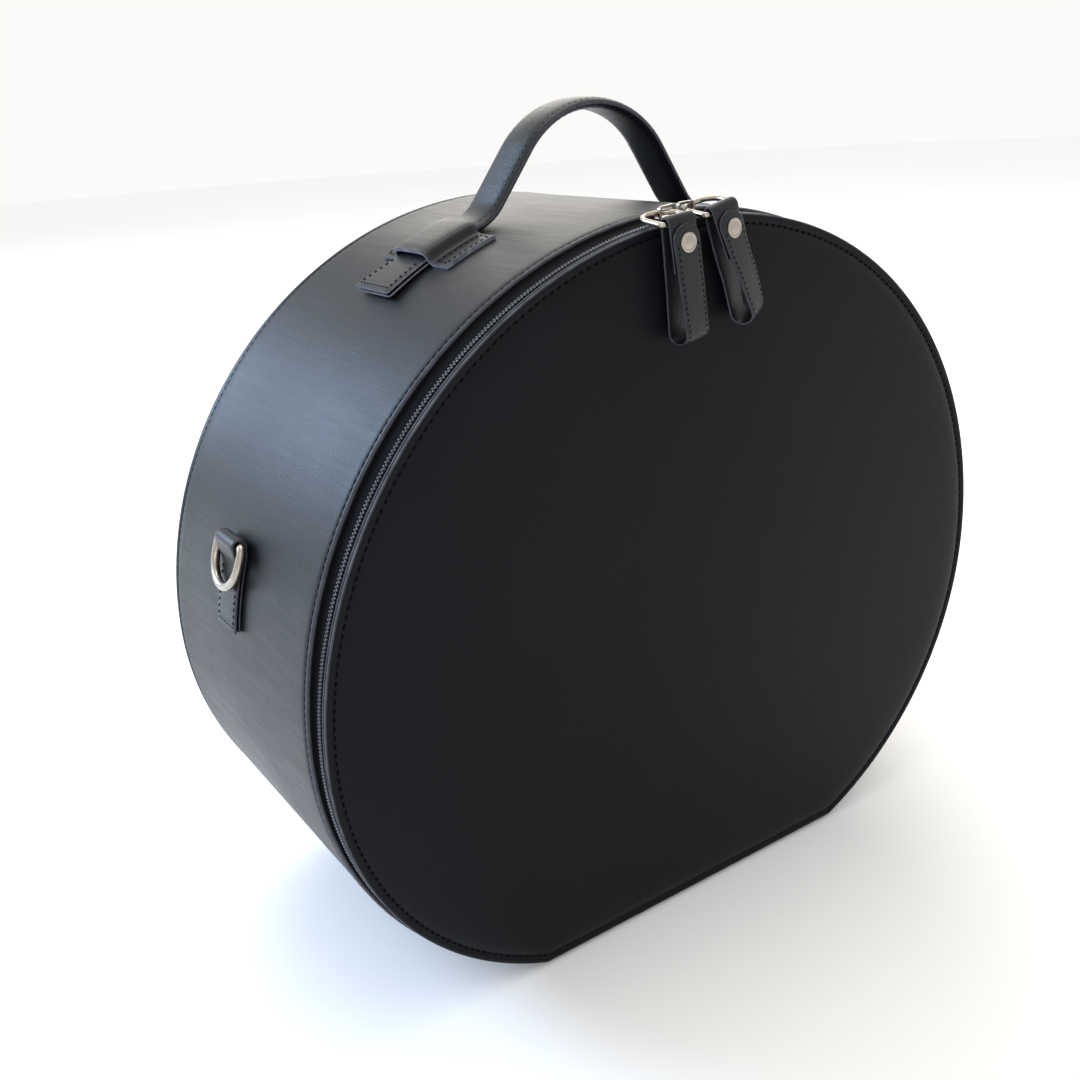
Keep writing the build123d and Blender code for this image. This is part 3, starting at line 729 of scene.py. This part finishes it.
def make_zip():
    """The tape on each side of the zip and the two rows of coil."""
    def leaning(y_lid):
        """Depth of a plane that leans with the lid and falls back to the rim at the zip's low ends."""
        def depth(line):
            y = lid_frame(at_depth(line, y_lid))[:, 1]
            return Y_RIM + (y - Y_RIM) * np.clip((line[:, 1] - 0.006) / 0.012, 0.0, 1.0)
        return depth

    def towards_rim(share):
        """Depth part of the way from the coil's back to the rim."""
        def depth(line):
            coil_back = leaning(0.0045)(line)
            return coil_back + (Y_RIM + 0.0003 - coil_back) * share
        return depth

    zi = ZIP_INSET
    tape_profile = [
        (zi - 0.0002, leaning(0.0030)), (zi - 0.0003, leaning(0.0045)), (zi - 0.0004, towards_rim(0.55)),
        (zi - 0.0008, towards_rim(0.85)), (0.0013, towards_rim(1.0)), (0.0013, Y_RIM + 0.0014),
        (0.0052, Y_RIM + 0.0014), (0.0052, towards_rim(1.0)), (0.0044, towards_rim(0.9)),
        (zi + 0.0007, towards_rim(0.55)), (zi + 0.0005, leaning(0.0045)), (zi + 0.0005, leaning(0.0030)),
    ]
    tape = sweep_outline("zip_tape_drum_side", tape_profile, span="arcs", materials=(TAPE_WITH_PAINTED_SHADE,))
    finish_piece(tape, "drum", "zip_tape", "body_zip_tape")
    lid_profile = [(zi - 0.0002, 0.0002), (zi + 0.0010, 0.0018), (zi + 0.0016, 0.0016),
                   (zi + 0.0012, 0.0004), (zi + 0.0100, 0.0002), (zi + 0.0100, -0.0002)]
    lid_tape = sweep_outline("zip_tape_lid_side", lid_profile, place=lid_frame, span="arcs",
                             materials=(TAPE_WITH_PAINTED_SHADE,))
    finish_piece(lid_tape, "lid", "zip_tape", "lid_zip_tape")

    drum_coil = coil_row("zip_coil_drum_side", COIL_BACK - 0.0005, 0.0019, 0.5)
    finish_piece(drum_coil, "drum", "zip_coil", "body_zip_coil")
    lid_coil = coil_row("zip_coil_lid_side", 0.0008, 0.0027, 0.0)
    finish_piece(lid_coil, "lid", "zip_coil", "lid_zip_coil")


# ---- straps laid on the drum ----

def on_drum(side, s, y, h, from_angle):
    """Wraps strip coordinates round the drum: s down the skin from an angle, y across, h above it."""
    a = from_angle + s / R_TOP
    r = R_TOP + h
    return np.array([side * r * sin(a), y, Z_ARC + r * cos(a)])


def wrapped_ribbon(name, side, stations, from_angle, materials, **looks):
    """A strip on the drum. stations are (s, h, half width, half thickness)."""
    centres, across, out = [], [], []
    for s, h, _, _ in stations:
        a = from_angle + s / R_TOP
        centres.append(on_drum(side, s, Y_MID, h, from_angle))
        across.append(ACROSS)
        out.append(np.array([side * sin(a), 0.0, cos(a)]))
    hw = [q[2] for q in stations]
    ht = [q[3] for q in stations]
    return ribbon(name, centres, across, out, hw, ht, materials, **looks)


def handle_angle(side, angle):
    """Angle from the top for a handle part, whose own angle is from the handle's middle."""
    return radians(angle) + side * HANDLE_TURN


def make_keeper(name, side):
    """A leather strip arched over the strap, its two flanges flat on the drum."""
    slot_half, flange, rise, t = 0.0146, 0.030, 0.0060, 0.0018
    low = t / 2 + 0.0002
    line = [(y, low) for y in np.linspace(-flange, -slot_half - 0.0034, 8)]
    for k in range(1, 8):
        a = k / 8 * pi / 2
        line.append((-slot_half - 0.0034 + 0.0030 * sin(a) ** 1.3, low + 0.0032 * (1 - cos(a))))
    for k in range(0, 8):
        a = k / 7 * pi / 2
        line.append((-slot_half - 0.0002 + 0.0036 * (1 - cos(a)),
                     t / 2 + 0.0036 + (rise - 0.0036) * sin(a)))
    for y in np.linspace(-slot_half + 0.0050, 0.0, 6):
        line.append((y, t / 2 + rise + 0.0004 * (1 - (y / slot_half) ** 2)))
    line += [(-y, h) for y, h in reversed(line[:-1])]
    along = np.linspace(0.0, KEEPER_LONG, 12)
    rows, n = len(line), len(along)
    verts, worn = [], []
    for layer in (1, -1):
        for k, (y, h) in enumerate(line):
            d = np.subtract(line[min(k + 1, rows - 1)], line[max(k - 1, 0)])
            d /= np.linalg.norm(d)
            for i, s in enumerate(along):
                soft = 0.0003 if i in (0, n - 1) and layer == 1 else 0.0
                verts.append(on_drum(side, s, Y_MID + y - d[1] * layer * t / 2,
                                     h + d[0] * layer * t / 2 - soft, handle_angle(side, KEEPER_FROM)))
                worn.append(0.7 if soft else 0.0)
    m = rows * n
    faces = [(q, q + 1, q + n + 1, q + n) for start in (0, m) for k in range(rows - 1)
             for q in range(start + k * n, start + k * n + n - 1)]
    rim = [k * n for k in range(rows)] + [(rows - 1) * n + i for i in range(1, n)]
    rim += [k * n + n - 1 for k in reversed(range(rows - 1))] + [i for i in reversed(range(1, n - 1))]
    indices = [0] * len(faces) + [1] * len(rim)
    faces += [(a, b, m + b, m + a) for a, b in zip(rim, rim[1:] + rim[:1])]
    return mesh_object(name, verts, faces, [STRAP_SKIN, EDGE_PAINTED_HIGHLIGHT], indices, attributes=worn, sharp=55.0)


def stitch_loop(name, side, points, from_angle):
    """Stitches along (s, y, h) points on the drum."""
    line = [on_drum(side, s, Y_MID + y, h, from_angle) for s, y, h in points]
    normals = [on_drum(side, s, 0.0, 1.0, from_angle) - on_drum(side, s, 0.0, 0.0, from_angle)
               for s, y, h in points]
    return stitches(name, line, normals, length=0.0020, radius=0.00023, pitch=0.0031)


def line_between(a, b):
    """Evenly spaced points from a to b."""
    return [tuple(np.array(a) + (np.array(b) - np.array(a)) * f) for f in np.linspace(0, 1, 14)]


def row_round_end(a, b, wide, high, side_steps, end_steps):
    """A row down one side of a strip, across its end and back up: (s, y, h) points."""
    points = [(s, -wide(s), high(s)) for s in np.linspace(a, b, side_steps)]
    points += [(b, y, high(b)) for y in np.linspace(-wide(b), wide(b), end_steps)[1:]]
    return points + [(s, wide(s), high(s)) for s in np.linspace(b, a, side_steps)[1:]]


def make_handle_seat(label, side):
    """One side's keeper and strap tail."""
    keeper = make_keeper(f"keeper_leather_{label}", side)
    finish_piece(keeper, "drum", "leather", f"handle_keeper_{label}")
    h = 0.0020
    for edge, sign in (("front", -1), ("back", 1)):
        a, b, inner, outer = 0.0022, KEEPER_LONG - 0.0022, sign * 0.0205, sign * 0.0278
        corners = [(a, inner, h), (a, outer, h), (b, outer, h), (b, inner, h), (a, inner, h)]
        path = corners[:1]
        for near, far in zip(corners, corners[1:]):
            path += line_between(near, far)[1:]
        row = stitch_loop(f"keeper_stitches_{edge}_{label}", side, path, handle_angle(side, KEEPER_FROM))
        finish_piece(row, "drum", "leather")

    start = handle_angle(side, TAIL_FROM)
    blunt = 0.0012  # length over which a layer's tip is rounded off

    def share(s):
        """0 up to the tail's shoulder, 1 at its tip."""
        return max(0.0, (s - TAIL_SHOULDER) / (TAIL_LONG - TAIL_SHOULDER))

    for layer, height, lift in (("upper", 0.0033, 0.0013), ("lower", 0.0014, 0.0012)):
        stations = []
        for s in np.linspace(0.0, TAIL_LONG, 34):
            into_tip = max(0.0, s - TAIL_LONG + blunt) / blunt
            full = sqrt(max(0.05, 1 - into_tip ** 2))
            wide = 0.01325 + 0.0033 * share(s) ** 1.3 - (1 - full) * 0.0009
            stations.append((s, height - 0.0002 + lift * share(s) ** 1.8, wide,
                             0.00095 * (0.55 + 0.45 * full)))
        tail = wrapped_ribbon(f"strap_tail_{layer}_{label}", side, stations, start,
                              [STRAP_SKIN, EDGE_PAINTED_HIGHLIGHT], wear=0.7)
        nodes = (f"handle_tail_{label}",) if layer == "upper" else ()
        finish_piece(tail, f"tail_{label}", "leather", *nodes)

    points = row_round_end(TAIL_SHOULDER + 0.003, TAIL_LONG - 0.0026,
                           lambda s: 0.0108 + 0.0033 * share(s) ** 1.3,
                           lambda s: 0.0040 + 0.0013 * share(s) ** 1.8, 16, 14)
    row = stitch_loop(f"tail_stitches_{label}", side, points, start)
    finish_piece(row, f"tail_{label}", "leather")


# ---- handle ----

def leg_sizes():
    """Radius of the bend at a leg's foot and length of its straight, where both meet the top bend."""
    top = APEX_R - STRAP_T / 2 - TOP_R
    sides = [[sin(LEAVE) - sin(STEEP), -cos(STEEP)], [cos(LEAVE) - cos(STEEP), sin(STEEP)]]
    reach = [TOP_R * sin(STEEP) - STRAP_R * sin(LEAVE), top + TOP_R * cos(STEEP) - STRAP_R * cos(LEAVE)]
    return [round(float(v), 6) for v in np.linalg.solve(sides, reach)]


BEND_R, STRAIGHT = leg_sizes()


def handle_stations(side):
    """Centre line of half the handle, from under its keeper to the top: (point, outward vector)."""
    line = []
    for a in np.linspace(STRAP_END, LEAVE, 10):
        line.append((sin(a) * STRAP_R, cos(a) * STRAP_R, a))
    bend = (STRAP_R + BEND_R) * sin(LEAVE), (STRAP_R + BEND_R) * cos(LEAVE)
    for a in np.linspace(LEAVE, STEEP, 18)[1:]:
        line.append((bend[0] - BEND_R * sin(a), bend[1] - BEND_R * cos(a), a))
    top = APEX_R - STRAP_T / 2 - TOP_R
    foot = (TOP_R * sin(STEEP) + STRAIGHT * cos(STEEP),
            top + TOP_R * cos(STEEP) - STRAIGHT * sin(STEEP))
    for f in np.linspace(0, 1, 12)[1:-1]:
        line.append((foot[0] - f * STRAIGHT * cos(STEEP), foot[1] + f * STRAIGHT * sin(STEEP), STEEP))
    for a in np.linspace(STEEP, 0.0, 44):
        line.append((TOP_R * sin(a), top + TOP_R * cos(a), a))
    stations = []
    for x, z, a in line:
        r, turned = sqrt(x * x + z * z), side * np.arctan2(x, z) + HANDLE_TURN
        lean = side * a + HANDLE_TURN
        stations.append((np.array([r * sin(turned), Y_MID, Z_ARC + r * cos(turned)]),
                         np.array([sin(lean), 0.0, cos(lean)])))
    return stations


def make_handle():
    """The strap in two halves that meet at its top, each with stitches along both edges."""
    for label, side in SIDES.items():
        stations = handle_stations(side)
        centres = [p for p, _ in stations]
        out = [n for _, n in stations]
        across = [ACROSS] * len(stations)
        half = ribbon(f"handle_strap_{label}", centres, across, out, 0.0130, 0.0024, [STRAP_SKIN, EDGE],
                      crown=0.22, thin=0.38, wear=0.6)
        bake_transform(half)
        nodes = [f"handle_leg_{label}"] + (["handle_grip"] if label == "left" else [])
        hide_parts(*nodes)
        for face, sign in (("outer", 1), ("inner", -1)):
            for edge, y in (("front", -0.0103), ("back", 0.0103)):
                keep = range(10, len(stations))  # clear of the keeper
                line = [centres[k] + out[k] * sign * 0.00185 + ACROSS * y for k in keep]
                normals = [out[k] * sign for k in keep]
                row = stitches(f"handle_stitches_{face}_{edge}_{label}", line, normals, length=0.0023,
                               radius=0.00023, pitch=0.0034)
                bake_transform(row)


# ---- zip pulls ----

PULL_W = 0.0145
PULL_T = 0.0016
PULL_BORE = 0.0017
PULL_FOLD = 0.0042
PULL_L = 0.046
TWIST = {"left": radians(7.0), "right": radians(16.0)}
YAW = {"left": radians(2.0), "right": radians(9.0)}
LEAN_MORE = {"left": radians(1.0), "right": radians(7.0)}
RIVET_Z = 0.0083


def pull_path():
    """Centre line of the folded strip in its own frame, y outwards is negative: inner end, over the bar,
    down the back, round the bottom and up the front."""
    mid = PULL_BORE + PULL_T / 2
    low = PULL_FOLD + PULL_T / 2
    pts = [(-mid - 0.0001, z) for z in np.linspace(-0.020, -0.001, 12)]
    pts += [(-mid * cos(a), mid * sin(a)) for a in np.linspace(0, pi, 13)]
    back = np.linspace(-0.001, -PULL_L, 26)
    pts += [(mid + (low - mid) * (z / -PULL_L) ** 1.4, z) for z in back[:-1]]
    pts += [(low * cos(a), -PULL_L - low * 0.92 * sin(a)) for a in np.linspace(0, pi, 19)]
    start = -mid - PULL_T - 0.0001
    pts += [(-low + (start + low) * f ** 1.3, -PULL_L + (PULL_L - 0.0006) * f)
            for f in np.linspace(0, 1, 30)[1:]]
    return np.array(pts)


def pull_twist(label, p):
    """Turns a point of the pull about its own length, more towards its bottom, then leans it."""
    share = min(1.0, max(0.0, -p[2] / PULL_L))
    a = YAW[label] * min(1.0, share * 4) + TWIST[label] * share ** 1.5
    x, y = p[0] * cos(a) - p[1] * sin(a), p[0] * sin(a) + p[1] * cos(a)
    roll = RING_ROLL[label] - LEAN_MORE[label] * min(1.0, share * 1.6)
    return np.array([x * cos(roll) + p[2] * sin(roll), y, -x * sin(roll) + p[2] * cos(roll)])


def make_pull(label):
    """A folded leather strip on its ring's bar, its stitches and its rivet."""
    path = pull_path()
    n = len(path)
    s = lengths_along(path)
    origin = np.array(BAR[label])
    front_end = s[-1]
    rounded = 0.0068  # length of the strip's rounded outer end
    centres, across, out, widths = [], [], [], []
    for k in range(n):
        a, b = path[max(k - 1, 0)], path[min(k + 1, n - 1)]
        d = (b - a) / np.linalg.norm(b - a)
        p = np.array([0.0, path[k][0], path[k][1]])
        c = pull_twist(label, p)
        w = pull_twist(label, p + np.array([0.001, 0, 0])) - c
        nrm = pull_twist(label, p + 0.001 * np.array([0.0, -d[1], d[0]])) - c
        w /= np.linalg.norm(w)
        nrm -= w * nrm.dot(w)
        centres.append(origin + c)
        across.append(w)
        out.append(nrm / np.linalg.norm(nrm))
        left = front_end - s[k]
        f = 1.0 if left > rounded else sqrt(max(0.03, 1 - ((rounded - left) / rounded) ** 2))
        widths.append(PULL_W / 2 * f)
    strip = ribbon(f"pull_strip_{label}", centres, across, out, widths, PULL_T / 2, [STRAP_SKIN, EDGE],
                   thin=0.12, wear=0.8)
    finish_piece(strip, f"pull_{label}", "leather", f"zip_pull_{label}")
    picks = [k for k in range(n) if s[k] > s[24] + 0.002 and front_end - s[k] > 0.0065]
    for edge, u in (("left", -PULL_W / 2 + 0.0017), ("right", PULL_W / 2 - 0.0017)):
        line = [centres[k] + across[k] * u + out[k] * PULL_T / 2 * 0.86 for k in picks]
        normals = [out[k] for k in picks]
        row = stitches(f"pull_stitches_{edge}_{label}", line, normals, length=0.0016, radius=0.0002,
                       pitch=0.0025)
        finish_piece(row, f"pull_{label}", "leather")

    middle = np.array([0.0, -(PULL_BORE + 2 * PULL_T + 0.0002), -RIVET_Z])
    c = pull_twist(label, middle)
    face = pull_twist(label, middle + np.array([0, -0.001, 0])) - c
    z_axis = Vector(face).normalized()
    place = Matrix.Translation(Vector(origin + c)) @ z_axis.to_track_quat("Z", "Y").to_matrix().to_4x4()
    profile = [(0.0015, -0.0048), (0.0034, -0.0046), (0.0034, -0.0040), (0.0014, -0.0040), (0.0014, -0.0004),
               (0.0040, -0.0004), (0.00425, -0.0001), (0.0043, 0.0003), (0.0041, 0.0007), (0.0037, 0.00085),
               (0.0034, 0.0008), (0.0031, 0.00065), (0.0026, 0.0007), (0.0016, 0.00085), (0.0005, 0.0009)]
    rivet = lathe(f"rivet_{label}", profile, place, NICKEL)
    finish_piece(rivet, f"pull_{label}", "nickel", f"pull_rivet_{label}")


# ---- D-rings and tabs ----

def loop_point(side, x, z):
    """x runs down the drum from the D-ring's bar, z away from the drum."""
    down = np.array([side * cos(LOOP_ANGLE), 0.0, -sin(LOOP_ANGLE)])
    away = np.array([side * sin(LOOP_ANGLE), 0.0, cos(LOOP_ANGLE)])
    return np.array([0.0, Y_MID, Z_ARC]) + away * (LOOP_R + z) + down * x


def make_d_ring(label, side):
    """A D of round wire with the butt joint in its bow."""
    half, drop, corner = 0.014, 0.021, 0.003
    centre = drop - half
    line = [(y, 0.0) for y in np.linspace(-half + corner, half - corner, 14)]
    line += [(half - corner + corner * cos(a), corner + corner * sin(a))
             for a in np.linspace(-pi / 2, 0, 9)[1:]]
    line += [(half, x) for x in np.linspace(corner, centre, 5)[1:]]
    line += [(half * cos(a), centre + half * sin(a)) for a in np.linspace(0, pi, 46)[1:]]
    line += [(-half, x) for x in np.linspace(centre, corner, 5)[1:]]
    line += [(-half + corner + corner * cos(a), corner + corner * sin(a))
             for a in np.linspace(pi, 3 * pi / 2, 9)[1:-1]]
    points = [loop_point(side, x, 0.0) + ACROSS * y for y, x in line]
    wire = tube(f"d_ring_wire_{label}", points, 0.0020, NICKEL, around=24)
    finish_piece(wire, f"d_ring_{label}", "nickel", f"d_ring_{label}")
    joint = [loop_point(side, drop - half + half * cos(t), 0.0) + ACROSS * (half * sin(t))
             for t in (radians(2.0), radians(3.2))]
    seam = tube(f"d_ring_seam_{label}", joint, 0.00203, SEAM, closed=False, around=24)
    finish_piece(seam, f"d_ring_{label}", "nickel")


def make_tab(label, side):
    """A folded leather tab: up the drum, round the D-ring's bar and back down underneath."""
    t = 0.0016
    r_loop = 0.0024 + t / 2
    skin_r = R_TOP + 0.0001
    length = R_TOP * radians(11.3)
    centres, out = [], []

    def on_skin(x, height):
        a = LOOP_ANGLE + x / R_TOP
        n = np.array([side * sin(a), 0.0, cos(a)])
        return np.array([0.0, Y_MID, Z_ARC]) + n * (skin_r + height), n

    for x in np.linspace(length, 0.0055, 16):
        rise = max(0.0, 1 - (x - 0.0055) / 0.007)
        p, n = on_skin(x, t * 1.5 + 0.0001 + 0.0035 * rise ** 2)
        centres.append(p)
        out.append(n)
    for a in np.linspace(radians(50), radians(270), 20):
        centres.append(loop_point(side, r_loop * cos(a), r_loop * sin(a)))
        d = loop_point(side, cos(a), sin(a)) - loop_point(side, 0, 0)
        out.append(d / np.linalg.norm(d))
    for x in np.linspace(0.004, length - 0.0006, 16):
        p, n = on_skin(x, t * 0.5)
        centres.append(p)
        out.append(-n)
    tab = ribbon(f"tab_strip_{label}", centres, [ACROSS] * len(centres), out, 0.011, t / 2,
                 [STRAP_SKIN, EDGE], thin=0.1, wear=0.8)
    finish_piece(tab, "drum", "leather", f"d_ring_tab_{label}")
    path = row_round_end(0.0085, length - 0.0022, lambda s: 0.0090, lambda s: t * 2 + 0.0001, 12, 12)
    row = stitch_loop(f"tab_stitches_{label}", side, path, LOOP_ANGLE)
    finish_piece(row, "drum", "leather")


# ---- hinge strip and carried-over parts ----

def make_hinge():
    """The leather strip on which the lid folds down, tucked under the drum's lip and the lid's."""
    half = 0.094
    stations = []
    for f in np.linspace(0.0, 1.0, 18):
        y = Y_RIM + 0.012 + (HINGE.y - Y_RIM - 0.012 - 0.0006) * f
        stations.append(np.array([0.0, y, 0.0032 + 0.0010 * sin(pi * f) ** 2]))
    across = [np.array([1.0, 0.0, 0.0])] * len(stations)
    out = [np.array([0.0, 0.0, 1.0])] * len(stations)
    strip = ribbon("hinge_leather", stations, across, out, half, 0.0005, [STRAP_SKIN, EDGE], wear=0.2)
    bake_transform(strip)
    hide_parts("hinge_strip")


def dress_cad_nodes():
    """CAD parts that already have their true shape get their finish."""
    looks = {"hoop_board": BOARD, "base_board": BOARD, "back_board": BOARD, "lid_board": BOARD}
    for label in SIDES:
        looks[f"zip_slider_{label}"] = NICKEL
        looks[f"zip_ring_{label}"] = NICKEL
    for name, material in looks.items():
        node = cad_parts[name]
        node.data.materials.clear()
        node.data.materials.append(material)


# ---- stage, light and camera ----

def make_stage():
    """A pale round floor in a plain white studio."""
    bpy.ops.mesh.primitive_circle_add(vertices=96, radius=6.0, fill_type="NGON", location=(0, 0, -0.0002))
    floor = bpy.context.object
    floor.name = "floor"
    m = Mat("pale_floor", (0.94, 0.94, 0.94), 0.9, specular=0.05)
    cloud = m.noise(1.5, 2.0)
    m.color(m.mix(cloud, (0.93, 0.93, 0.93), (0.96, 0.96, 0.96)))
    floor.data.materials.append(m.m)
    world = bpy.data.worlds.new("studio")
    bpy.context.scene.world = world
    world.use_nodes = True
    back = world.node_tree.nodes["Background"]
    back.inputs["Color"].default_value = (1.0, 0.99, 0.975, 1)
    back.inputs["Strength"].default_value = 0.97


def area_light(name, place, aim, size, power, color):
    data = bpy.data.lights.new(name, "AREA")
    data.shape = "DISK"
    data.size = size
    data.energy = power
    data.color = color
    lamp = bpy.data.objects.new(name, data)
    lamp.location = place
    lamp.rotation_mode = "QUATERNION"
    lamp.rotation_quaternion = (Vector(aim) - Vector(place)).to_track_quat("-Z", "Y")
    bpy.context.scene.collection.objects.link(lamp)


def make_lights():
    area_light("window_behind_left", (-1.5, 1.9, 1.45), (-0.15, 0.0, 0.2), 1.5, 74.0, (0.5, 0.71, 1.0))
    area_light("far_wall", (1.4, 2.1, 1.6), (0.0, 0.0, 0.3), 2.0, 24.0, (1.0, 0.96, 0.88))
    area_light("ceiling", (0.3, 0.4, 2.6), (0.0, 0.0, 0.2), 1.8, 22.0, (1.0, 0.96, 0.9))
    area_light("front_fill", (-1.6, -1.8, 1.5), (0.0, 0.0, 0.2), 1.4, 8.0, (1.0, 0.98, 0.95))


def make_camera():
    """Seen from the front left, a little above the box's top, with a slight roll."""
    data = bpy.data.cameras.new("camera")
    data.sensor_width = 36.0
    data.lens = 39.05
    cam = bpy.data.objects.new("camera", data)
    yaw, pitch, roll = radians(32.915), radians(21.397), radians(-3.733)
    forward = Vector((sin(yaw) * cos(pitch), cos(yaw) * cos(pitch), -sin(pitch)))
    right = Vector((cos(yaw), -sin(yaw), 0.0))
    up = right.cross(forward)
    right, up = right * cos(roll) + up * sin(roll), up * cos(roll) - right * sin(roll)
    rotation = Matrix((right, up, -forward)).transposed()
    cam.matrix_world = Matrix.Translation((-0.3454, -0.4740, 0.4109)) @ rotation.to_4x4()
    bpy.context.scene.collection.objects.link(cam)
    bpy.context.scene.camera = cam


SEAM = nickel("nickel_seam", (0.1, 0.09, 0.08), 0.5)
bpy.context.scene.view_settings.view_transform = "Standard"

make_camera()
make_drum()
make_linings()
make_lid()
make_zip()
make_handle()
for side_label, side_sign in SIDES.items():
    make_handle_seat(side_label, side_sign)
    make_pull(side_label)
    make_d_ring(side_label, side_sign)
    make_tab(side_label, side_sign)
make_hinge()
dress_cad_nodes()
make_stage()
make_lights()
